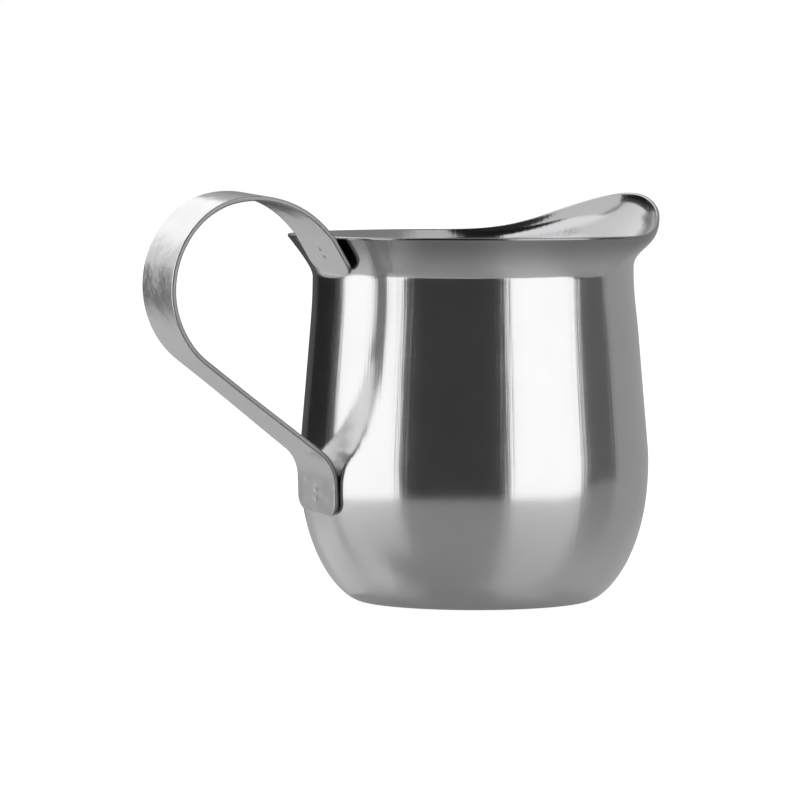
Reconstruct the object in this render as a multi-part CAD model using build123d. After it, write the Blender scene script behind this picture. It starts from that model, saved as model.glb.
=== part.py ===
from build123d import *
import math
import os

# Small bell-shaped cream jug, drawn from one sheet of stainless steel, with a
# bent strap handle spot-welded on.  Millimetres.  The origin is the centre of
# the flat base, +Z is up, the spout points along +X and the handle along -X.

# --- bowl -------------------------------------------------------------------
SHEET = 0.6              # thickness of the drawn sheet
BASE_RADIUS = 19.95      # flat the jug stands on
BELLY_RADIUS = 30.1      # widest part of the bowl
BELLY_HEIGHT = 24.4      # height of the widest part
BELLY_DROP_POWER = 2.24  # how late the belly turns in towards the base
BELLY_FOOT_POWER = 1.54  # how roundly it meets the base
WALL_SLOPE = 0.086       # how fast the wall draws in above the belly
WALL_ROUND = 0.9         # softness of the turn from belly to wall
NECK_DROP = 2.3          # how much narrower the neck is than the belly
NECK_ROUND = 0.25        # softness of the turn from wall to neck
NECK_HEIGHT = 56.1       # where the flare springs from the neck

# --- lip and spout ----------------------------------------------------------
RIM_HEIGHT = 63.0        # plain lip above the base
RIM_RADIUS = 32.3        # plain lip
FLARE_POWER = 1.15       # 1 is a straight cone, more curls outwards
SPOUT_START = 5.5        # the lip starts to rise this far forward of the axis
SPOUT_RUN = 34.0         # length over which the full rise would be reached
SPOUT_RISE = 9.5         # full rise; the tip stops a little short of it
SPOUT_PUSH = 0.45        # the tip pushed out beyond the plain lip
SPOUT_PINCH = 0.5        # the flanks of the spout pinched in
SPOUT_NECK_UP = 1.2      # the flare springs higher under the spout
SPOUT_NECK_IN = 0.35     # and the neck is drawn in under it

# --- handle -----------------------------------------------------------------
TAB_WIDTH = 11.4         # the strap is widest at its two tabs
WAIST_WIDTH = 9.5        # and narrower round the outside of the loop
WAIST_FROM = 52.0        # distance from the axis at which it is down to the waist
WAIST_TAPER = 20.0       # length of the taper, measured along X
STRAP_THICK = 0.85
STRAP_TURN = 3.8         # degrees the handle is welded round from dead opposite
STRAP_LEAN = 4.5         # degrees it stands off plumb
TAB_CORNER = 2.5         # rounding of the two ends of the strap
LOWER_WELD_HEIGHT = 19.3
LOWER_TAB_BELOW = 3.4    # length of tab below the middle of its welds
LOWER_TAB_ABOVE = 2.4    # straight length above it
LOWER_BEND = 7.0         # bend radius where the strap leaves the belly
RUN_ANGLE = 34.5         # slope of the straight run up and out
OUTER_BEND = 16.4        # bend from the run to the upright
UPRIGHT = 110.0          # headings at which the bends over the loop meet
CROWN = 11.0
TOP_BEND = 20.0          # slow bend over the top
TOP_ANGLE = 42.0         # slope down to the lip
TOP_LENGTH = 2.2         # straight length on that slope
LIP_BEND = 4.0           # set in the strap just outside the lip
UPPER_WELD_HEIGHT = 60.9
UPPER_TAB_BELOW = 4.4
UPPER_TAB_ABOVE = 2.9
LOWER_SEAT_GAP = 0.03    # the strap and the sheet touch only through the welds
UPPER_SEAT_GAP = 0.2

# --- spot welds ---------------------------------------------------------------
WELD_PITCH = 1.6         # the two welds of a pair
WELD_RADIUS = 0.6
WELD_IN_SHEET = 0.4      # depth of the nugget in the sheet
WELD_IN_STRAP = 0.4      # and in the strap
DIMPLE_RADIUS = 0.9      # ball end of the welding electrode
DIMPLE_DEPTH = 0.09


def smooth(share):
    """0 below 0, 1 above 1, and an even S between."""
    share = min(max(share, 0.0), 1.0)
    return share * share * (3.0 - 2.0 * share)


def spout_share(angle):
    """1 in front, over the spout, 0 around the plain lip."""
    return 1.0 - smooth((abs(angle) - 0.75) / 0.65)


def lip_rise(forward):
    """Height of the lip above the plain rim, from how far forward it is."""
    return SPOUT_RISE * smooth((forward - SPOUT_START) / SPOUT_RUN) ** 3


def lip_radius(angle):
    """Plan of the lip: a circle, pinched at the flanks, pushed out at the tip."""
    push = SPOUT_PUSH * math.exp(-((abs(angle) / 0.23) ** 2.5))
    pinch = SPOUT_PINCH * math.exp(-(((abs(angle) - 0.75) / 0.35) ** 2))
    return RIM_RADIUS + push - pinch


def lip_height(angle):
    return RIM_HEIGHT + lip_rise(lip_radius(angle) * math.cos(angle))


def wall_radius(height):
    """Belly, wall and neck, without the flare: the same all round."""
    if height < BELLY_HEIGHT:
        below = (BELLY_HEIGHT - height) / BELLY_HEIGHT
        fill = (1.0 - below**BELLY_DROP_POWER) ** (1.0 / BELLY_FOOT_POWER)
        return BASE_RADIUS + (BELLY_RADIUS - BASE_RADIUS) * fill
    above = height - BELLY_HEIGHT
    drop = WALL_SLOPE * (math.hypot(above, WALL_ROUND) - WALL_ROUND)
    # the smaller of the drop and NECK_DROP, with the corner rounded
    drop = 0.5 * (drop + NECK_DROP - math.hypot(drop - NECK_DROP, NECK_ROUND))
    return BELLY_RADIUS - drop


def outer_radius(angle, height):
    """Outside of the whole bowl at one angle and height."""
    spout = spout_share(angle)
    radius = wall_radius(height) - SPOUT_NECK_IN * spout * smooth((height - 46.0) / 11.0)
    spring = NECK_HEIGHT + SPOUT_NECK_UP * spout
    if height <= spring:
        return radius
    share = (height - spring) / (lip_height(angle) - spring)
    even = min(share, 1.0)
    plain = share**FLARE_POWER
    swept = even**3 * (6.0 * even**2 - 15.0 * even + 10.0)
    reach = lip_radius(angle) - (BELLY_RADIUS - NECK_DROP - SPOUT_NECK_IN * spout)
    return radius + reach * (plain + (swept - plain) * spout)


def inner_radius(angle, height):
    """Inside of the bowl: the outside, moved in by one sheet along its normal."""
    step = 0.05
    lean = (outer_radius(angle, height + step) - outer_radius(angle, height - step)) / (2 * step)
    return outer_radius(angle, height) - SHEET * math.hypot(1.0, lean)


def ring(radius_at, height):
    """One closed level of the bowl, at a height."""
    angles = [math.pi * (i / 24 - 1) for i in range(48)]
    points = []
    for angle in angles:
        radius = radius_at(angle, height)
        points.append((radius * math.cos(angle), radius * math.sin(angle), height))
    return Wire([Edge.make_spline(points, periodic=True)])


def cavity_radius(angle, height):
    """The inside, closed towards a flat floor one sheet above the base."""
    if height >= BELLY_HEIGHT:
        return inner_radius(angle, height)
    below = (BELLY_HEIGHT - height) / (BELLY_HEIGHT - SHEET)
    fill = (1.0 - min(below, 1.0) ** BELLY_DROP_POWER) ** (1.0 / BELLY_FOOT_POWER)
    floor = BASE_RADIUS - 0.3
    return floor + (BELLY_RADIUS - SHEET - floor) * fill


def levels(bottom):
    """Heights of the rings: close together where the profile turns."""
    low = [bottom + (BELLY_HEIGHT - bottom) * (i / 11) ** 2 for i in range(11)]
    wall = [BELLY_HEIGHT + 3.2 * i for i in range(10)]
    neck = [NECK_HEIGHT + 0.75 * i for i in range(-1, 24)]
    return low + wall + neck


outside = Solid.make_loft([ring(outer_radius, height) for height in levels(0.0)])
inside = Solid.make_loft([ring(cavity_radius, height) for height in levels(SHEET)])

# everything above the lip: level behind, rising over the spout
lip_line = Spline(
    *[(x, RIM_HEIGHT + lip_rise(x)) for x in (SPOUT_START + 1.0 + 2.5 * i for i in range(12))],
    tangents=((1, 0), (1, 0.3)),
)
waste = Plane.XZ * make_face(
    [
        Line((-50, RIM_HEIGHT), lip_line @ 0),
        lip_line,
        Polyline(lip_line @ 1, (50, 80), (-50, 80), (-50, RIM_HEIGHT)),
    ]
)
body = outside - inside - extrude(waste, 50, both=True)


# --- strap handle, laid out in the XZ plane --------------------------------------
def heading(degrees):
    return Vector(math.cos(math.radians(degrees)), math.sin(math.radians(degrees)))


def seat(height):
    """Point on the back of the bowl and the slope of its outside there."""
    step = 0.4
    back = math.pi
    lean = (outer_radius(back, height + step) - outer_radius(back, height - step)) / (2 * step)
    return Vector(-outer_radius(back, height), height), math.degrees(math.atan2(1.0, -lean))


def arc_step(start, stop, radius):
    """Offset from one end to the other of a bend between two headings."""
    side = 90.0 if stop > start else -90.0
    centre = heading(start + side) * radius
    return centre - heading(stop + side) * radius


lower_seat, lower_up = seat(LOWER_WELD_HEIGHT)
upper_seat, upper_up = seat(UPPER_WELD_HEIGHT)
upper_down = upper_up - 180.0
run = 180.0 - RUN_ANGLE
lower_middle = lower_seat + heading(lower_up + 90) * (STRAP_THICK / 2 + LOWER_SEAT_GAP)
upper_middle = upper_seat + heading(upper_up + 90) * (STRAP_THICK / 2 + UPPER_SEAT_GAP)
lower_end = lower_middle - heading(lower_up) * LOWER_TAB_BELOW
tab_top = lower_middle + heading(lower_up) * LOWER_TAB_ABOVE
lip_end = upper_middle - heading(upper_down) * UPPER_TAB_ABOVE

# what the known bends and the top straight leave of the way between the seats
# is shared between the long straight run and the bend over the shoulder
left = lip_end - tab_top - heading(-TOP_ANGLE) * TOP_LENGTH
left -= arc_step(lower_up, run, LOWER_BEND)
left -= arc_step(run, UPRIGHT, OUTER_BEND)
left -= arc_step(CROWN, -TOP_ANGLE, TOP_BEND)
left -= arc_step(-TOP_ANGLE, upper_down, LIP_BEND)
along = heading(run)
over = arc_step(UPRIGHT, CROWN, 1.0)
cross = along.X * over.Y - along.Y * over.X
run_length = (left.X * over.Y - left.Y * over.X) / cross
crown_bend = (along.X * left.Y - along.Y * left.X) / cross

steps = [
    ("line", lower_up, LOWER_TAB_BELOW + LOWER_TAB_ABOVE),
    ("bend", lower_up, run, LOWER_BEND),
    ("line", run, run_length),
    ("bend", run, UPRIGHT, OUTER_BEND),
    ("bend", UPRIGHT, CROWN, crown_bend),
    ("bend", CROWN, -TOP_ANGLE, TOP_BEND),
    ("line", -TOP_ANGLE, TOP_LENGTH),
    ("bend", -TOP_ANGLE, upper_down, LIP_BEND),
    ("line", upper_down, UPPER_TAB_ABOVE + UPPER_TAB_BELOW),
]


def strap_side(offset):
    """One face of the strap: its middle line moved sideways by an offset."""
    middle = lower_end
    edges = []
    for kind, start, *rest in steps:
        first = middle + heading(start - 90) * offset
        if kind == "line":
            middle = middle + heading(start) * rest[0]
            edges.append(Line(first, middle + heading(start - 90) * offset))
            continue
        stop, radius = rest
        side = 90.0 if stop > start else -90.0
        centre = middle + heading(start + side) * radius
        middle = middle + arc_step(start, stop, radius)
        between = 0.5 * (start + stop)
        half = centre - heading(between + side) * radius
        edges.append(
            ThreePointArc(
                first,
                half + heading(between - 90) * offset,
                middle + heading(stop - 90) * offset,
            )
        )
    return edges


inner_side = strap_side(STRAP_THICK / 2)
outer_side = strap_side(-STRAP_THICK / 2)
caps = [
    Line(inner_side[0] @ 0, outer_side[0] @ 0),
    Line(inner_side[-1] @ 1, outer_side[-1] @ 1),
]
section = Plane.XZ * make_face(inner_side + outer_side + caps)
strap = extrude(section, TAB_WIDTH / 2, both=True)
corners = [e for e in strap.edges() if abs(e.length - STRAP_THICK) < 0.01]
strap = fillet(corners, TAB_CORNER)


def half_width(out):
    """Half the strap's width, from the distance out from the axis."""
    share = smooth((WAIST_FROM - out) / WAIST_TAPER)
    return 0.5 * (WAIST_WIDTH + (TAB_WIDTH - WAIST_WIDTH) * share)


# what is trimmed off both sides, seen from above, to leave the narrow waist
taper_start = WAIST_FROM - WAIST_TAPER
taper = [(-taper_start - i, half_width(taper_start + i)) for i in range(1, 20)]
taper = [(-taper_start, TAB_WIDTH / 2)] + taper + [(-WAIST_FROM, WAIST_WIDTH / 2)]
for side in (1, -1):
    trimmed = [(x, side * y) for x, y in taper]
    far = (-80.0, side * WAIST_WIDTH / 2)
    edge = Spline(*trimmed, tangents=[(-1, 0), (-1, 0)])
    rest = Polyline(trimmed[-1], far, (far[0], side * 9.0), (-taper_start, side * 9.0), trimmed[0])
    strap = strap - extrude(make_face([edge, *rest.edges()]), 90.0)


def in_space(point):
    return Vector(point.X, 0, point.Y)


# the whole handle leans about the middle of its upper welds, and is welded on
# a little to one side of dead opposite the spout
hinge = in_space(upper_middle)
welded = Rot(Z=STRAP_TURN) * Pos(*hinge) * Rot(X=STRAP_LEAN) * Pos(*-hinge)
strap = welded * strap

# --- spot welds ---------------------------------------------------------------
welds = {}
pairs = (
    ("lower", lower_seat, lower_up, LOWER_SEAT_GAP),
    ("upper", upper_seat, upper_up, UPPER_SEAT_GAP),
)
for pair, seat_point, up, gap in pairs:
    out = in_space(heading(up + 90))
    for place, sign in (("top", 1), ("bottom", -1)):
        spot = in_space(seat_point + heading(up) * (sign * WELD_PITCH / 2))
        frame = Plane(origin=spot, x_dir=(0, 1, 0), z_dir=out)
        deep = frame.offset(-WELD_IN_SHEET)
        height = WELD_IN_SHEET + gap + WELD_IN_STRAP
        standing = (Align.CENTER, Align.CENTER, Align.MIN)
        nugget = welded * (deep * Cylinder(WELD_RADIUS, height, align=standing))
        ball = frame.offset(STRAP_THICK + gap + DIMPLE_RADIUS - DIMPLE_DEPTH)
        body = body - nugget
        strap = strap - nugget - welded * (ball * Sphere(DIMPLE_RADIUS))
        welds[f"{pair}_weld_{place}"] = nugget

os.makedirs("parts", exist_ok=True)
export_step(body, "parts/jug_body.step")
export_step(strap, "parts/handle_strap.step")
for name, nugget in welds.items():
    export_step(nugget, f"parts/{name}.step")
print("straight run", round(run_length, 2), "crown bend", round(crown_bend, 2))
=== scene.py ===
# %% [markdown]
# # A small steel cream jug
# A bell creamer is two pieces of stainless steel: a bowl drawn from one round
# sheet, and a strap bent into a loop and spot-welded on at two tabs.  The CAD
# model gives the sizes and the places.  Here the same shapes are made again
# as fine, smooth surfaces, because polished metal shows every facet, and they
# are given a finish and a small studio to reflect.

import bpy
import numpy as np
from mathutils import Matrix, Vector


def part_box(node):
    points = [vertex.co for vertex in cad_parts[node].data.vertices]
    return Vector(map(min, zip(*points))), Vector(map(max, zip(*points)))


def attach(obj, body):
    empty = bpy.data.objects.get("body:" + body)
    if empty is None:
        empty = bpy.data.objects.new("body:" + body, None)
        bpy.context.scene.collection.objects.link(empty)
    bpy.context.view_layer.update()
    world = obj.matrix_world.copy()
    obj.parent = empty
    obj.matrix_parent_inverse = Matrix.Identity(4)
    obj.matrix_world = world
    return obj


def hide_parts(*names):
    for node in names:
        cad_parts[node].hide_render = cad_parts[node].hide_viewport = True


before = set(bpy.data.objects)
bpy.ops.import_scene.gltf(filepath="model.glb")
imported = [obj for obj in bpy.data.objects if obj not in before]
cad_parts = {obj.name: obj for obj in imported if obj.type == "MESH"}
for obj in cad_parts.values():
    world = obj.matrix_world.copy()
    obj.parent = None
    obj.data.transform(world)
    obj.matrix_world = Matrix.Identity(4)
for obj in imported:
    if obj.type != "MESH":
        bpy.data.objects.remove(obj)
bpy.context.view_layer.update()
MM = 0.001
print("CAD pieces:", sorted(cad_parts))


def cad_corners(node):
    """Lowest and highest corner of a CAD piece, in millimetres."""
    low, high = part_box(node)
    return np.array(low) / MM, np.array(high) / MM


# %% [markdown]
# ## Turning a formula into a mesh
# Both pieces are surfaces worked out as whole arrays.  A grid has rows and
# columns of points; neighbouring points make four-sided faces.  `grid_faces`
# numbers those faces, and can close the grid round like a tube.  Keeping the
# arithmetic in numpy is quick, and it keeps the shape readable as a formula.

# %% Helpers that build a mesh from a grid of points
def grid_faces(rows, columns, first=0, wrap=False):
    """Corner numbers of every face of a grid of rows x columns points."""
    row = np.arange(rows - 1)[:, None] * columns
    column = np.arange(columns if wrap else columns - 1)[None, :]
    here = row + column
    right = row + (column + 1) % columns
    quads = np.stack([here, right, right + columns, here + columns], axis=-1)
    return quads.reshape(-1, 4) + first


def make_piece(name, points, quads, triangles=None):
    """A smooth-shaded mesh object from points in millimetres and its faces."""
    faces = quads.tolist() + ([] if triangles is None else triangles.tolist())
    mesh = bpy.data.meshes.new(name)
    mesh.from_pydata((points * MM).tolist(), [], faces)
    mesh.polygons.foreach_set("use_smooth", np.ones(len(faces), bool))
    mesh.update()
    piece = bpy.data.objects.new(name, mesh)
    bpy.context.scene.collection.objects.link(piece)
    low, high = points.min(axis=0), points.max(axis=0)
    print(name, len(faces), "faces, from", low.round(2), "to", high.round(2), "mm")
    return piece


def smooth(share):
    """0 below 0, 1 above 1, and the even S curve 3x^2 - 2x^3 between."""
    share = np.clip(share, 0.0, 1.0)
    return share * share * (3.0 - 2.0 * share)


# %% [markdown]
# ## The bowl
# A real bowl starts as a flat disc that is drawn into a cup, bulged at the
# belly, flared at the lip, and pinched into a spout.  It could be made by
# spinning a profile, but the spout breaks the round, so the outside is a
# function of two parameters instead: how far along the section a point is,
# and the angle round the jug.  Heights are in millimetres above the table.

# %% Measures of the bowl
bowl_low, bowl_high = cad_corners("jug_body")
SHEET = 0.6
BASE_RADIUS = 19.95
BELLY_RADIUS, BELLY_HEIGHT = 30.1, 24.4
BELLY_START, BELLY_FINISH = 1.54, 2.24  # powers: how full the belly is low and high
WALL_SLOPE = 0.086  # how much the wall draws in for each millimetre it rises
BELLY_TURN, NECK_TURN = 0.9, 0.25  # softness of the turns at the wall's two ends
NECK_HEIGHT, NECK_DROP = 56.1, 2.3
RIM_HEIGHT, RIM_RADIUS = 63.0, 32.3
print("CAD bowl", bowl_low.round(2), bowl_high.round(2), "mm")

# %% [markdown]
# Above the neck the sheet flares out.  At the front it also rises and is
# pinched into a spout, which has its own measures.

# %% Measures of the flare and the spout
FLARE_POWER = 1.15  # 1 is a straight cone, more curls outwards
FLARE_SOFT = 0.14  # softness of the turn from wall to flare
FLARE_EARLY = 0.4  # the softened turn starts this far under the neck
SPOUT_RISE = 9.5
SPOUT_START, SPOUT_RUN = 5.5, 34.0  # where the lip starts to rise, and over what way
SPOUT_HALF, SPOUT_FADE = 0.75, 0.65  # radians from the tip
SPOUT_NECK_IN, SPOUT_NECK_UP = 0.35, 1.2
print("the spout's tip is", RIM_HEIGHT + SPOUT_RISE, "mm high at most")

# %% [markdown]
# Three short functions give the lip: how much a direction belongs to the
# spout, how far out the lip is there, and how high.

# %% The outline of the lip, seen from above and from the side
def spout_share(angle):
    """1 over the spout, falling to 0 round the plain lip."""
    return 1.0 - smooth((np.abs(angle) - SPOUT_HALF) / SPOUT_FADE)


def lip_radius(angle):
    """A circle, pinched in at both flanks of the spout, pushed out at its tip."""
    push = 0.45 * np.exp(-((np.abs(angle) / 0.23) ** 2.5))
    pinch = 0.5 * np.exp(-(((np.abs(angle) - SPOUT_HALF) / 0.35) ** 2))
    return RIM_RADIUS + push - pinch


def lip_height(angle):
    """Level behind; rises with the distance forward as the cube of an S curve."""
    forward = lip_radius(angle) * np.cos(angle)
    return RIM_HEIGHT + SPOUT_RISE * smooth((forward - SPOUT_START) / SPOUT_RUN) ** 3


for name, side in (("spout", 0.0), ("flank", np.pi / 2), ("back", np.pi)):
    print("lip at the", name, lip_radius(side).round(2), "out", lip_height(side).round(2), "up")

# %% [markdown]
# The outside radius is the wall's radius plus the reach of the flare.  Sheet
# metal can't fold sharply, so the turns above the belly and at the neck are
# square-root curves: nearly straight away from the turn, round close to it.

# %% The outside of the bowl at any height and angle
def wall_radius(height):
    """Belly: a full curve from base to widest point.  Above it the wall draws
    in along a straight slope, and stops at the neck, with both turns softened."""
    below = np.clip((BELLY_HEIGHT - height) / BELLY_HEIGHT, 0.0, 1.0)
    fill = (1.0 - below**BELLY_FINISH) ** (1.0 / BELLY_START)
    belly = BASE_RADIUS + (BELLY_RADIUS - BASE_RADIUS) * fill
    above = np.maximum(height - BELLY_HEIGHT, 0.0)
    drop = WALL_SLOPE * (np.hypot(above, BELLY_TURN) - BELLY_TURN)
    drop = 0.5 * (drop + NECK_DROP - np.hypot(drop - NECK_DROP, NECK_TURN))
    return belly - drop * (height > BELLY_HEIGHT)


def outside_radius(height, angle):
    """Wall plus flare.  The flare is nearly a cone behind; under the spout it is
    an S that sweeps out and turns upright again at the lip."""
    spout = spout_share(angle)
    radius = wall_radius(height) - SPOUT_NECK_IN * spout * smooth((height - 46.0) / 11.0)
    spring = NECK_HEIGHT - FLARE_EARLY + SPOUT_NECK_UP * spout
    share = np.clip((height - spring) / (lip_height(angle) - spring), 0.0, 1.0)
    eased = np.hypot(share, FLARE_SOFT) - FLARE_SOFT
    cone = (eased / (np.hypot(1.0, FLARE_SOFT) - FLARE_SOFT)) ** FLARE_POWER
    swept = share**3 * (6.0 * share**2 - 15.0 * share + 10.0)
    reach = lip_radius(angle) - (BELLY_RADIUS - NECK_DROP - SPOUT_NECK_IN * spout)
    return radius + reach * (cone + (swept - cone) * spout)


# %% [markdown]
# The section runs from the middle of the base up the outside to the lip, over
# the rounded edge of the sheet, and down the inside to the middle of the
# floor.  Each row is one ring of points; rows stand closer where it curves.

# %% Rows and columns of the outside
ROUND = 360
BELOW_NECK = 1.0
angle = np.linspace(-np.pi, np.pi, ROUND, endpoint=False)[None, :]
flat = np.linspace(0.02, 1.0, 8)[:, None] ** 0.7
corner = np.linspace(0.0, 1.0, 46)[1:, None] ** 1.9
wall = np.linspace(0.0, 1.0, 26)[1:, None]
flare = np.linspace(0.0, 1.0, 56)[1:, None]

heights = np.vstack(
    [
        0.0 * flat + 0.0 * angle,
        BELLY_HEIGHT * corner + 0.0 * angle,
        BELLY_HEIGHT + (NECK_HEIGHT - BELOW_NECK - BELLY_HEIGHT) * wall + 0.0 * angle,
        NECK_HEIGHT - BELOW_NECK + (lip_height(angle) - SHEET / 2 - NECK_HEIGHT + BELOW_NECK) * flare,
    ]
)
radii = outside_radius(heights, angle + 0.0 * heights)
radii[: len(flat)] = BASE_RADIUS * flat
outside = np.stack([radii * np.cos(angle), radii * np.sin(angle), heights], axis=-1)
print("outside of the bowl:", heights.shape[0], "rows of", ROUND, "points")

# %% [markdown]
# The inside is the outside moved one sheet thickness along its own normal, so
# the wall is equally thick everywhere, as drawn sheet nearly is.

# %% The inside, one sheet thickness further in
def surface_normals(grid):
    """Unit normals of a grid closed in its columns: the cross product of the
    step to the next row and the step to the next column."""
    along = np.gradient(grid, axis=0)
    across = np.roll(grid, -1, axis=1) - np.roll(grid, 1, axis=1)
    normal = np.cross(across, along)
    return normal / np.linalg.norm(normal, axis=-1, keepdims=True)


normals = surface_normals(outside)
inside = outside - SHEET * normals
floor_rows = len(flat)
inside[:floor_rows] = outside[:floor_rows] + [0.0, 0.0, SHEET]
back_lip = np.linalg.norm(inside[-1, 0, :2])
print("at the back of the lip the inside is", back_lip.round(2), "mm from the axis")

# %% [markdown]
# At the lip the sheet just ends.  Its edge is a half circle that runs from the
# outside to the inside, a sheet thickness across, and nothing may stand higher
# than the CAD model does.

# %% The rounded edge of the lip
middle = 0.5 * (outside[-1] + inside[-1])
spoke = outside[-1] - middle
upward = outside[-1] - outside[-2]
upward -= spoke * (upward * spoke).sum(-1, keepdims=True) / (spoke * spoke).sum(-1, keepdims=True)
upward *= (SHEET / 2) / np.linalg.norm(upward, axis=-1, keepdims=True)
turn = np.radians(np.linspace(0, 180, 9)[1:-1])[:, None, None]
edge = middle + np.cos(turn) * spoke + np.sin(turn) * upward
section = np.vstack([outside, edge, inside[::-1]])
section[..., 2] -= np.maximum(section[..., 2] - bowl_high[2], 0.0)
print("highest point of the lip", section[..., 2].max().round(2), "mm")

# %% [markdown]
# The first row and the last are small rings round the axis.  A fan of
# triangles to one middle point closes each, so the bowl has no hole.

# %% Join the rows into one closed mesh
rows = section.shape[0]
points = np.vstack([section.reshape(-1, 3), [[0, 0, 0], [0, 0, SHEET]]])
quads = grid_faces(rows, ROUND, wrap=True)
ring = np.arange(ROUND)
after = (ring + 1) % ROUND
centre = rows * ROUND
base_fan = np.stack([np.full(ROUND, centre), after, ring], axis=-1)
last = (rows - 1) * ROUND
floor_fan = np.stack([np.full(ROUND, centre + 1), last + ring, last + after], axis=-1)
bowl = make_piece("bowl", points, quads, np.vstack([base_fan, floor_fan]))

# %% [markdown]
# ## The strap handle
# The handle is a strip of sheet, 11.4 mm wide at its two rounded tabs and
# 9.5 mm over the loop, with a row of bends between the tabs.  A bent strip is
# easiest to describe the way it is bent, as lengths and turns.

# %% Measures of the strip
STRAP_THICK, TAB_CORNER, STRAP_EDGE = 0.85, 2.5, 0.3
TAB_WIDTH, WAIST_WIDTH, WAIST_FROM, WAIST_TAPER = 11.4, 9.5, 52.0, 20.0
LEAN, TURN = np.radians(4.5), np.radians(3.8)
START = np.array([-30.057, 15.873])
HINGE = np.array([-31.295, 60.539])
LOWER_WELDS, UPPER_WELDS = 3.4, 4.4  # from each end of the strip to its pair of welds
WELD_PITCH = 1.6
DIMPLE_DEPTH, DIMPLE_SPREAD = 0.08, 0.33
LOWER_TAB, RUN, TOP, UPPER_TAB = 5.8, 28.44, 2.2, 7.3  # lengths of the straights
print("the strip is", STRAP_THICK, "mm thick")

# %% [markdown]
# The heading changes evenly along each bend and stays the same along each
# straight.  Headings are in degrees: 0 is level towards the spout, and 90 is
# straight up.  The route starts at the end of the lower tab.

# %% The route of the strip
AT_LOWER, AT_RUN, AT_UPRIGHT = 95.02, 145.5, 110.0
AT_CROWN, AT_TOP, AT_UPPER = 11.0, -42.0, -54.70


def bend(before, after, radius):
    """Length and last heading of a bend between two headings."""
    return abs(np.radians(after - before)) * radius, after


ROUTE = [
    (LOWER_TAB, AT_LOWER),
    bend(AT_LOWER, AT_RUN, 7.0),
    (RUN, AT_RUN),
    bend(AT_RUN, AT_UPRIGHT, 16.4),
    bend(AT_UPRIGHT, AT_CROWN, 14.343),
    bend(AT_CROWN, AT_TOP, 20.0),
    (TOP, AT_TOP),
    bend(AT_TOP, AT_UPPER, 4.0),
    (UPPER_TAB, AT_UPPER),
]
stations = np.cumsum([0.0] + [length for length, _ in ROUTE])
headings = np.array([AT_LOWER] + [reached for _, reached in ROUTE])
STRAP_LENGTH = stations[-1]
print("strip length", round(STRAP_LENGTH, 2), "mm")

# %% [markdown]
# Adding up small steps in that heading gives the middle line, and the width is
# laid off to both sides of it.

# %% The strip's middle line
def strap_line(along):
    """Point and heading at a length along the strip.  The heading runs evenly
    between stations; the point is the running sum of its cosine and sine."""
    fine = np.linspace(0.0, STRAP_LENGTH, 6001)
    heading = np.radians(np.interp(fine, stations, headings))
    step = fine[1] - fine[0]
    halfway = 0.5 * (heading[1:] + heading[:-1])
    x = START[0] + np.concatenate([[0.0], np.cumsum(np.cos(halfway)) * step])
    z = START[1] + np.concatenate([[0.0], np.cumsum(np.sin(halfway)) * step])
    return np.interp(along, fine, x), np.interp(along, fine, z), np.interp(along, fine, heading)


print("the strip ends at", *(round(float(end), 2) for end in strap_line(STRAP_LENGTH)[:2]), "mm")

# %% [markdown]
# The strip is cut to a waist and rounded corners, so its half width changes
# along it.  Stations stand close together on the tabs, which have the small
# corners, and further apart on the loop.

# %% Stations along the strip, and its width at each
tab = np.concatenate([0.3 * (1 - np.cos(np.linspace(0, np.pi / 2, 7))), np.arange(0.42, 7.5, 0.14)])
loop = np.arange(7.6, STRAP_LENGTH - 7.5, 0.33)
along = np.concatenate([tab, loop, STRAP_LENGTH - tab[::-1]])[:, None]
x, z, heading = strap_line(along)
full_half = 0.5 * (WAIST_WIDTH + (TAB_WIDTH - WAIST_WIDTH) * smooth((WAIST_FROM + x) / WAIST_TAPER))
short = TAB_CORNER - np.clip(np.minimum(along, STRAP_LENGTH - along), 0.0, TAB_CORNER)
half_width = full_half - TAB_CORNER + np.sqrt(TAB_CORNER**2 - short**2)
ACROSS = 61
across = half_width * np.sin(np.linspace(np.pi / 2, -np.pi / 2, ACROSS))[None, :]
print(len(along), "stations,", ACROSS, "points across")

# %% [markdown]
# Tumbling has taken the sharpness off the edges.  The half thickness therefore
# depends on the distance to the nearest edge of the blank: full inside, and a
# quarter circle over the last third of a millimetre.  The welding electrodes
# leave a shallow dimple over each weld, on the face that looks away from the
# bowl.

# %% Rounded edges and weld dimples
def edge_distance(along, across):
    """Distance from a point of the blank to its outline, a long rectangle with
    rounded corners and a narrower waist."""
    past = np.abs(along - STRAP_LENGTH / 2) - (STRAP_LENGTH / 2 - TAB_CORNER)
    aside = np.abs(across) - (full_half - TAB_CORNER)
    beyond = np.hypot(np.maximum(past, 0), np.maximum(aside, 0))
    return TAB_CORNER - beyond - np.minimum(np.maximum(past, aside), 0)


near = np.clip(edge_distance(along, across), 0.0, STRAP_EDGE)
half_thick = STRAP_THICK / 2 - STRAP_EDGE + np.sqrt(STRAP_EDGE**2 - (STRAP_EDGE - near) ** 2)


def dimples(middle):
    """A pair of marks about a middle station, each 1 at its middle and fading as
    the bell curve of the distance from it."""
    pair = [middle - WELD_PITCH / 2, middle + WELD_PITCH / 2]
    return sum(np.exp(-(((along - weld) ** 2 + across**2) / DIMPLE_SPREAD**2)) for weld in pair)


low_marks, high_marks = dimples(LOWER_WELDS), dimples(STRAP_LENGTH - UPPER_WELDS)
print("thinnest edge", round(float(half_thick.min() * 2), 2), "mm")

# %% [markdown]
# Two faces make the strip: the same points lifted to either side of the middle
# line.  The real handle isn't plumb, so the faces are leaned about the upper
# welds and turned a little about the jug's axis.

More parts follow.
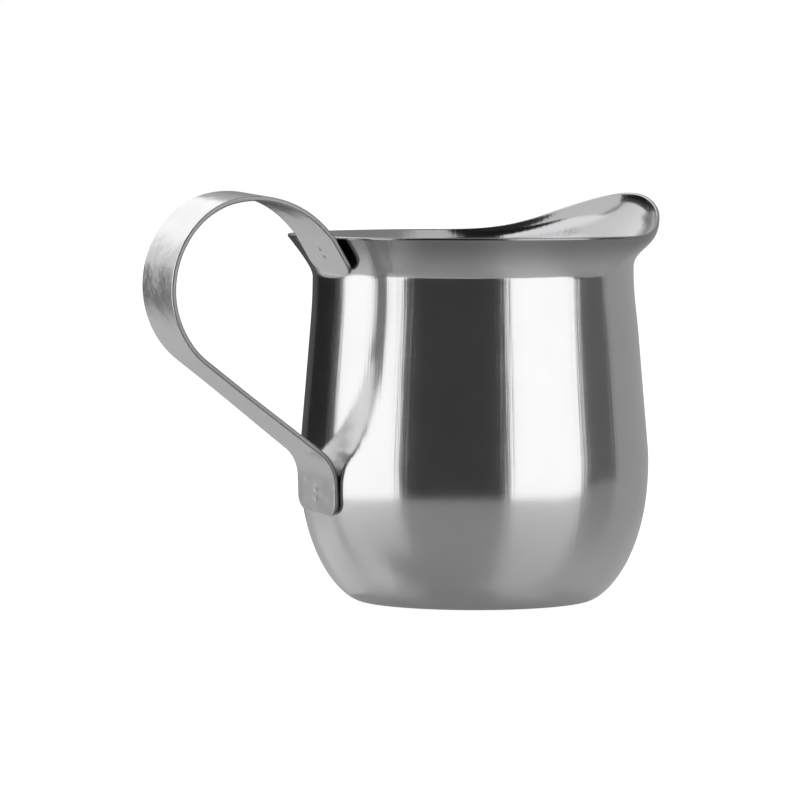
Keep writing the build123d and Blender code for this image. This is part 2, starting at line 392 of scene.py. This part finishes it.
# %% The strap's two faces
def strap_face(lift):
    """Points of one face: the middle line, the width along Y, and the lift along
    the normal; then leaned, and turned about the axis."""
    flat_x = x - np.sin(heading) * lift + 0.0 * across
    flat_z = z + np.cos(heading) * lift + 0.0 * across - HINGE[1]
    lean_y = across * np.cos(LEAN) - flat_z * np.sin(LEAN)
    lean_z = across * np.sin(LEAN) + flat_z * np.cos(LEAN) + HINGE[1]
    turned_x = flat_x * np.cos(TURN) - lean_y * np.sin(TURN)
    turned_y = flat_x * np.sin(TURN) + lean_y * np.cos(TURN)
    return np.stack([turned_x, turned_y, lean_z], axis=-1)


# the electrodes press on whichever face looks away from the bowl
outer_face = strap_face(half_thick - DIMPLE_DEPTH * low_marks)
inner_face = strap_face(-half_thick + DIMPLE_DEPTH * high_marks)[:, ::-1]
print("outer face", outer_face.shape, "inner face", inner_face.shape)

# %% [markdown]
# The faces are joined like a flattened tube, and both ends are zipped shut.
# Each point also keeps how much it belongs to a weld mark, for the finish.

# %% Join the faces into one closed mesh
tube = np.concatenate([outer_face, inner_face], axis=1)
rows, columns = tube.shape[:2]
one = np.arange(ACROSS - 1)
other = columns - 1 - one
start_zip = np.stack([one, other, other - 1, one + 1], axis=-1)
finish_zip = np.stack([one, one + 1, other - 1, other], axis=-1) + (rows - 1) * columns
quads = np.vstack([grid_faces(rows, columns, wrap=True), start_zip, finish_zip])
strap = make_piece("strap", tube.reshape(-1, 3), quads)
marks = np.concatenate([low_marks, high_marks[:, ::-1]], axis=1).astype(np.float32)
strap.data.attributes.new("weld_mark", "FLOAT", "POINT").data.foreach_set("value", marks.ravel())
print("CAD strap", *[corner.round(2) for corner in cad_corners("handle_strap")], "mm")

# %% [markdown]
# ## Writing a finish as arithmetic
# A procedural material is a graph of small nodes, and most of them only add
# and multiply.  `Wire` wraps one socket, so the same graph can be written as
# Python sums.  `Graph.node` adds every other kind of node, and `Finish` is the
# graph of one material.

# %% A socket that can be added and multiplied
class Wire:
    """One value in a material; arithmetic on it adds Math nodes."""

    def __init__(self, graph, socket):
        self.graph, self.socket = graph, socket

    def math(self, operation, *values):
        settings = {"operation": operation}
        return self.graph.node("ShaderNodeMath", settings, dict(enumerate(values)))

    def __add__(self, other):
        return self.math("ADD", self, other)

    def __rsub__(self, other):
        return self.math("SUBTRACT", other, self)

    def __mul__(self, other):
        return self.math("MULTIPLY", self, other)

    __radd__, __rmul__ = __add__, __mul__


# %% [markdown]
# A graph adds each node the same way, whatever its type: settings first,
# because they can change which sockets the node has, then values and links.

# %% A graph whose nodes are added by type
class Graph:
    """A node tree, emptied first, then filled node by node."""

    def __init__(self, tree):
        self.tree = tree
        tree.nodes.clear()

    def set(self, node, inputs):
        for key, value in inputs.items():
            if isinstance(value, Wire):
                self.tree.links.new(value.socket, node.inputs[key])
            else:
                node.inputs[key].default_value = value

    def node(self, kind, settings=None, inputs=None, out=0):
        """Add a node: its settings first, then the values or links it takes."""
        node = self.tree.nodes.new(kind)
        for key, value in (settings or {}).items():
            setattr(node, key, value)
        self.set(node, inputs or {})
        return Wire(self, node.outputs[out])


# %% [markdown]
# A finish is a graph that ends in a shader.  Its short methods name the few
# kinds of node that the steels below need.

# %% A material with the nodes that these finishes use
class Finish(Graph):
    """A material with one shader at its end."""

    def __init__(self, name, shader="ShaderNodeBsdfPrincipled"):
        self.material = bpy.data.materials.new(name)
        self.material.use_nodes = True
        super().__init__(self.material.node_tree)
        self.shader = self.tree.nodes.new(shader)
        output = self.tree.nodes.new("ShaderNodeOutputMaterial")
        self.tree.links.new(self.shader.outputs[0], output.inputs["Surface"])

    def place(self):
        """Position on the piece, in metres."""
        return self.node("ShaderNodeTexCoord", out=3)

    def vector(self, operation, *values, out=0, **named):
        """A Vector Math node; output 1 is the number it gives, where it gives one."""
        inputs = {**dict(enumerate(values)), **named}
        return self.node("ShaderNodeVectorMath", {"operation": operation}, inputs, out)

    def upright(self, height):
        """A vector that points straight up, as long as height."""
        return self.node("ShaderNodeCombineXYZ", None, {2: height})

    def ramp(self, value, low, high, ends=(0.0, 1.0), curve="SMOOTHSTEP"):
        """One end where the value is low, the other where it is high."""
        inputs = {0: value, 1: low, 2: high, 3: ends[0], 4: ends[1]}
        return self.node("ShaderNodeMapRange", {"interpolation_type": curve}, inputs)

    def noise(self, place, scale, detail=2.0, roughness=0.5):
        """An even random pattern from 0 to 1."""
        inputs = {"Vector": place, "Scale": scale, "Detail": detail, "Roughness": roughness}
        return self.node("ShaderNodeTexNoise", None, inputs)

    def blend(self, share, first, second):
        """A colour between two colours."""
        ends = [end if isinstance(end, Wire) else (*end, 1.0) for end in (first, second)]
        inputs = {0: share, 6: ends[0], 7: ends[1]}
        return self.node("ShaderNodeMix", {"data_type": "RGBA"}, inputs, out=2)

    def bump(self, height, distance, below=None):
        """Tilt the surface as a relief would, distance metres high, over another."""
        inputs = {"Height": height, "Distance": distance, "Strength": 1.0}
        if below is not None:
            inputs["Normal"] = below
        return self.node("ShaderNodeBump", None, inputs)


# %% [markdown]
# ## Stainless steel
# The bowl was drawn through a die and then buffed while it turned on a lathe.
# The die leaves faint upright ripples, and the buffing leaves a fine grain
# that runs round.  The ripples are bumps of a few hundredths of a millimetre
# and the grain of a few thousandths, and they are what makes reflections in
# steel look brushed and not like glass.
# The patterns use the direction from the axis and not an angle, because a
# direction has no seam where the circle closes.  The flare is painted a darker
# steel than the wall: painted shade for its darker reflections, and not a film
# on the metal.

# %% The bowl's finish
def bowl_finish():
    steel = Finish("buffed_bowl_steel")
    place = steel.place()
    level = steel.vector("MULTIPLY", place, (1.0, 1.0, 0.0))
    outward = steel.vector("NORMALIZE", level)
    distance = steel.vector("LENGTH", level, out=1)
    height = steel.node("ShaderNodeSeparateXYZ", None, {0: place}, out=2)

    # upright ripples: many round the jug, long from top to bottom
    many = steel.vector("SCALE", outward, Scale=22.0)
    ripple_place = steel.vector("ADD", many, steel.upright(height * 14.0))
    ripples = steel.noise(ripple_place, 1.0, 4.0, 0.6)

    # grain that runs round: thin in height and in distance from the axis
    few = steel.vector("MULTIPLY", outward, (9.0, 9.0, 0.0))
    grain_place = steel.vector("ADD", few, steel.upright((height + distance) * 5200.0))
    grain = steel.noise(grain_place, 1.0, 3.0, 0.65)

    # slow waves of the sheet, and handling marks
    waves = steel.noise(place, 55.0, 2.0)
    smears = steel.noise(place, 120.0, 5.0, 0.6)
    cells = steel.node("ShaderNodeTexVoronoi", {"feature": "F1"}, {"Vector": place, "Scale": 95.0})
    pit = steel.ramp(cells, 0.0, 0.05, ends=(1.0, 0.0))

    bumps = steel.bump(waves, 0.00006)
    bumps = steel.bump(ripples, 0.00003, bumps)
    bumps = steel.bump(grain, 0.0000035, bumps)
    bumps = steel.bump(1.0 - pit, 0.00002, bumps)
    # painted shade: the steel's colour darkens from the neck up to the lip, for the darker
    # reflections on the flare
    painted_flare_shade = steel.ramp(height, 0.0565, 0.0625)
    clean = steel.blend(smears, (0.57, 0.57, 0.575), (0.64, 0.64, 0.64))
    shade = steel.blend(painted_flare_shade, clean, (0.3, 0.3, 0.305))
    rough = 0.09 + smears * 0.06 + grain * 0.06 + pit * 0.3
    steel.set(steel.shader, {"Base Color": shade, "Roughness": rough, "Normal": bumps})
    steel.set(steel.shader, {"Metallic": 1.0})
    return steel.material


bowl.data.materials.append(bowl_finish())
print("bowl finish", len(bowl.data.materials[0].node_tree.nodes), "nodes")

# %% [markdown]
# The strap was sheared, tumbled with abrasive to take off the burrs, and bent
# afterwards.  Tumbling leaves an even satin with no direction, and bending
# leaves it slightly uneven, so its reflections look mottled.

# %% The strap's finish
def strap_finish():
    steel = Finish("tumbled_strap_steel")
    place = steel.place()
    satin = steel.noise(place, 5200.0, 3.0, 0.6)
    uneven = steel.noise(place, 140.0, 3.0)
    smears = steel.noise(place, 420.0, 4.0, 0.6)
    bumps = steel.bump(uneven, 0.0002)
    bumps = steel.bump(satin, 0.0000016, bumps)
    mark = steel.node("ShaderNodeAttribute", {"attribute_name": "weld_mark"}, out=2)
    clean = steel.blend(smears, (0.48, 0.48, 0.485), (0.54, 0.54, 0.54))
    shade = steel.blend(mark * 0.8, clean, (0.2, 0.2, 0.2))
    rough = 0.15 + smears * 0.12 + satin * 0.04 + mark * 0.3
    steel.set(steel.shader, {"Base Color": shade, "Roughness": rough, "Normal": bumps})
    steel.set(steel.shader, {"Metallic": 1.0})
    return steel.material


strap.data.materials.append(strap_finish())
print("strap finish", len(strap.data.materials[0].node_tree.nodes), "nodes")

# %% [markdown]
# The two long sides of the strip were cut by a shear.  Tumbling rounds such a
# side but doesn't polish it, so it stays duller than the faces.  Its darker
# colour is painted shade, for the dark gaps and dark reflections along the sides.

# %% The sheared sides
def edge_finish():
    steel = Finish("sheared_strap_edge")
    place = steel.place()
    tears = steel.noise(place, 1800.0, 4.0, 0.7)
    # partly painted shade: the sides are coloured darker than steel is, for the dark gap beside the
    # bowl
    shade = steel.blend(tears, (0.2, 0.2, 0.205), (0.4, 0.4, 0.4))
    bumps = steel.bump(tears, 0.00003)
    steel.set(steel.shader, {"Base Color": shade, "Roughness": 0.3 + tears * 0.25})
    steel.set(steel.shader, {"Metallic": 1.0, "Normal": bumps})
    return steel.material


strap.data.materials.append(edge_finish())
facing = np.empty(len(strap.data.polygons) * 3)
strap.data.polygons.foreach_get("normal", facing)
width_way = [-np.cos(LEAN) * np.sin(TURN), np.cos(LEAN) * np.cos(TURN), np.sin(LEAN)]
sheared = np.abs(facing.reshape(-1, 3) @ np.array(width_way)) > 0.55
strap.data.polygons.foreach_set("material_index", sheared.astype(np.int32))
print("sheared faces", int(sheared.sum()), "of", len(sheared))


# %% [markdown]
# The weld nuggets sit between the sheets and hardly show.  Fused steel is
# greyer and duller than the buffed sheet.

# %% The weld metal
def weld_finish():
    steel = Finish("fused_weld_steel")
    place = steel.place()
    mottle = steel.noise(place, 2500.0, 4.0, 0.7)
    shade = steel.blend(mottle, (0.3, 0.3, 0.31), (0.45, 0.44, 0.43))
    rough = 0.35 + mottle * 0.25
    bumps = steel.bump(mottle, 0.00002)
    steel.set(steel.shader, {"Base Color": shade, "Roughness": rough, "Normal": bumps})
    steel.set(steel.shader, {"Metallic": 1.0})
    return steel.material


weld_steel = weld_finish()
for name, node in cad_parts.items():
    if "weld" in name:
        node.data.materials.clear()
        node.data.materials.append(weld_steel)
        print(name, "has", weld_steel.name)

# %% [markdown]
# ## Attach the pieces to the CAD model
# Nothing on this jug moves, so both pieces ride on the one body.  Each stands
# in for its CAD piece, which is hidden.

# %% Ride and replace
for piece, node, slot in (
    (bowl, "jug_body", "bowl_steel"),
    (strap, "handle_strap", "strap_steel"),
):
    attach(piece, "root")
    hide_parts(node)

# %% [markdown]
# ## A small studio
# Polished steel has no colour of its own to show; it shows the room.  The
# room here is a ring of tall cards under parts of a dome: white soft boxes,
# dark flags between them, narrow slits of light, and grey beyond.  The cards
# are seen in reflections and give light, but the camera looks through them.

# %% Where the camera stands
VIEW = np.radians(32.3)
toward = np.array([-np.sin(VIEW), -np.cos(VIEW), 0.0])
rightward = np.array([np.cos(VIEW), -np.sin(VIEW), 0.0])


def bearing(degrees):
    """Level direction at an angle from the camera's side, right-hand positive."""
    turn = np.radians(degrees)[..., None]
    return toward * np.cos(turn) + rightward * np.sin(turn)


print("the camera stands towards", toward.round(3))

# %% [markdown]
# Cards and canopies differ only in their shape, so one function hangs both.

# %% Hang a card
WHITE = (1.0, 1.0, 1.0, 1.0)
CARD_COLUMNS, CANOPY_ROWS = 25, 17


def hang(name, points, glow):
    """Hang a glowing card, from a grid of points in metres."""
    rows, columns = points.shape[:2]
    piece = make_piece(name, points.reshape(-1, 3) / MM, grid_faces(rows, columns))
    paint = Finish(name + "_glow", "ShaderNodeEmission")
    paint.set(paint.shader, {"Strength": glow, "Color": WHITE})
    piece.data.materials.append(paint.material)
    piece.visible_camera = False


def card(name, left, right, low, high, glow, radius=1.0):
    """A curved card: bearing from left to right, and height from low to high."""
    turn = np.linspace(left, right, CARD_COLUMNS)[None, :]
    points = np.repeat(bearing(turn) * radius, 2, axis=0)
    points[..., 2] = np.array([low, high])[:, None]
    hang(name, points, glow)


def canopy(name, left, right, low, high, glow, radius=1.1):
    """Part of a dome: bearing from left to right, elevation from low to high."""
    turn = np.linspace(left, right, CARD_COLUMNS)[None, :]
    lift = np.radians(np.linspace(low, high, CANOPY_ROWS))[:, None]
    points = bearing(turn) * (np.cos(lift) * radius)[..., None]
    points[..., 2] = np.sin(lift) * radius
    hang(name, points, glow)


# %% [markdown]
# Every call below gives the two bearings in degrees, then the lower and upper
# edge, then how strongly the card glows.  The edge is an elevation in degrees
# for a canopy and a height in metres for a card.  The spout's inside and the
# handle reflect the canopies; the wall reflects the cards, so each white card
# is one bright stripe on the steel and each flag a dark one.

# %% Hang the canopies and the cards
canopy("front_canopy", -80, 23, 38, 80, 0.03)
canopy("left_canopy", -116, -80, 38, 74, 2.3)
canopy("right_canopy", 23, 80, 40, 74, 1.4)
canopy("overhead_flag", -180, 180, 74, 90, 0.25, radius=1.12)
card("left_soft_box", -105, -50, -0.5, 0.9, 1.6)
card("right_soft_box", 23, 76, -0.5, 0.9, 1.6)
card("slit_of_light", -46.6, -45.7, -0.5, 0.6, 0.35, radius=0.98)
card("second_slit", -43.4, -42.8, -0.5, 0.6, 0.2, radius=0.98)
card("left_slit", -112.5, -110.0, -0.5, 0.13, 0.16, radius=0.98)
card("front_flag", -50, 23, -0.5, 0.9, 0.06)
card("left_flag", -147, -105, -0.5, 0.13, 0.02)
card("left_grey", -147, -105, 0.13, 0.24, 0.12)
card("back_left_flag", -180, -147, -0.5, 0.14, 0.09)
card("back_left_grey", -180, -147, 0.14, 0.4, 0.3)
card("right_flag", 76, 106, -0.5, 0.6, 0.15)
card("back_right_grey", 106, 180, -0.5, 0.6, 0.42)
card("high_soft_box", -147, -112, 0.24, 1.1, 1.75)
card("top_soft_box", -166, -147, 0.38, 1.1, 1.75)

# %% [markdown]
# The jug stands on a pale floor.  In reflections a smaller, darker board
# takes its place, as in a studio where the jug stands on a board between the
# cards: the board's edge is what ends the bright stripes at the belly.

# %% A flat sheet round the axis
def disc(name, radius_at, height, rings=40, around=180):
    """A flat sheet round the axis whose rim is at radius_at(bearing)."""
    turn = np.linspace(-180, 180, around, endpoint=False)[None, :]
    share = np.linspace(0.0, 1.0, rings)[1:, None]
    points = bearing(turn) * (radius_at(turn) * share)[..., None]
    points[..., 2] = height
    centre = (rings - 1) * around
    ring = np.arange(around)
    fan = np.stack([np.full(around, centre), ring, (ring + 1) % around], axis=-1)
    points = np.vstack([points.reshape(-1, 3), [[0, 0, height]]])
    quads = grid_faces(rings - 1, around, wrap=True)[:, ::-1]
    piece = make_piece(name, points / MM, quads, fan)
    return piece


def floor_rim(turn):
    """The same 3 metres on every side."""
    return 3.0 + 0.0 * turn


def board_rim(turn):
    """Near on most sides, further away behind to the left and to the right."""
    left = 0.45 * np.exp(-(((turn + 124.0) / 18.0) ** 2))
    right = 0.1 * np.exp(-(((turn - 95.0) / 22.0) ** 2))
    return 0.11 + left + right


floor_level = float(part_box("jug_body")[0][2])
print("the floor is at", floor_level)

# %% [markdown]
# The floor glows a little, so that it comes out as pale as the air behind it.
# It hides from reflections, where the board shows instead.

# %% The floor
floor = disc("floor", floor_rim, floor_level)
floor_paint = Finish("pale_floor")
floor_paint.set(
    floor_paint.shader,
    {
        "Base Color": (0.3, 0.3, 0.3, 1.0),
        "Roughness": 0.7,
        "Emission Color": WHITE,
        "Emission Strength": 0.92,
    },
)
floor.data.materials.append(floor_paint.material)
floor.visible_glossy = False
floor.visible_diffuse = False

# %% [markdown]
# The board lies just under the floor.  It is lit more on the left, so the
# steel that faces it is lighter on that side.

# %% The board
BOARD_DROP = 0.0002
board = disc("board", board_rim, floor_level - BOARD_DROP)
board_paint = Finish("grey_board")
place = board_paint.place()
side = board_paint.vector("DOT_PRODUCT", place, tuple(rightward), out=1)
leftward = board_paint.ramp(side, 0.08, -0.14, curve="LINEAR")
board_glow = board_paint.blend(leftward, (0.45, 0.45, 0.45), (0.95, 0.95, 0.95))
board_paint.set(
    board_paint.shader,
    {
        "Base Color": (0.8, 0.8, 0.8, 1.0),
        "Metallic": 0.2,
        "Roughness": 0.27,
        "Emission Color": board_glow,
        "Emission Strength": 0.26,
    },
)
board.data.materials.append(board_paint.material)
board.visible_camera = False

# %% [markdown]
# The air behind the jug is white to the camera.  In reflections and as light
# it is a softer grey, so the steel isn't washed out.

# %% The air round the studio
world = bpy.data.worlds.new("studio_air")
bpy.context.scene.world = world
world.use_nodes = True
sky = Graph(world.node_tree)
camera_sees = sky.node("ShaderNodeLightPath")
seen = sky.node("ShaderNodeBackground", None, {"Color": WHITE})
felt = sky.node("ShaderNodeBackground", None, {"Color": WHITE, "Strength": 0.62})
air = sky.node("ShaderNodeMixShader", None, {0: camera_sees, 1: felt, 2: seen})
sky.set(sky.tree.nodes.new("ShaderNodeOutputWorld"), {0: air})
print("the air has", len(sky.tree.nodes), "nodes")

# %% [markdown]
# ## The camera
# A long lens from nearly a metre away, a little above the rim, keeps the jug
# almost free of perspective.

# %% Camera
DISTANCE, CAMERA_HEIGHT, LENS, SENSOR = 0.8578, 0.0853, 224.0, 36.0
AIM_RIGHT, AIM_HEIGHT = -0.01277, 0.0344
aim = rightward * AIM_RIGHT + np.array([0.0, 0.0, AIM_HEIGHT])
stand = toward * DISTANCE + np.array([0.0, 0.0, CAMERA_HEIGHT])
camera_data = bpy.data.cameras.new("camera")
camera_data.lens = LENS
camera_data.sensor_width = SENSOR
camera_data.clip_start = 0.01
camera = bpy.data.objects.new("camera", camera_data)
bpy.context.scene.collection.objects.link(camera)
camera.location = stand.tolist()
look = Vector((aim - stand).tolist())
camera.rotation_euler = look.to_track_quat("-Z", "Y").to_euler()
bpy.context.scene.camera = camera
bpy.context.scene.view_settings.view_transform = "Standard"
print("camera at", stand.round(4), "looking at", aim.round(4))
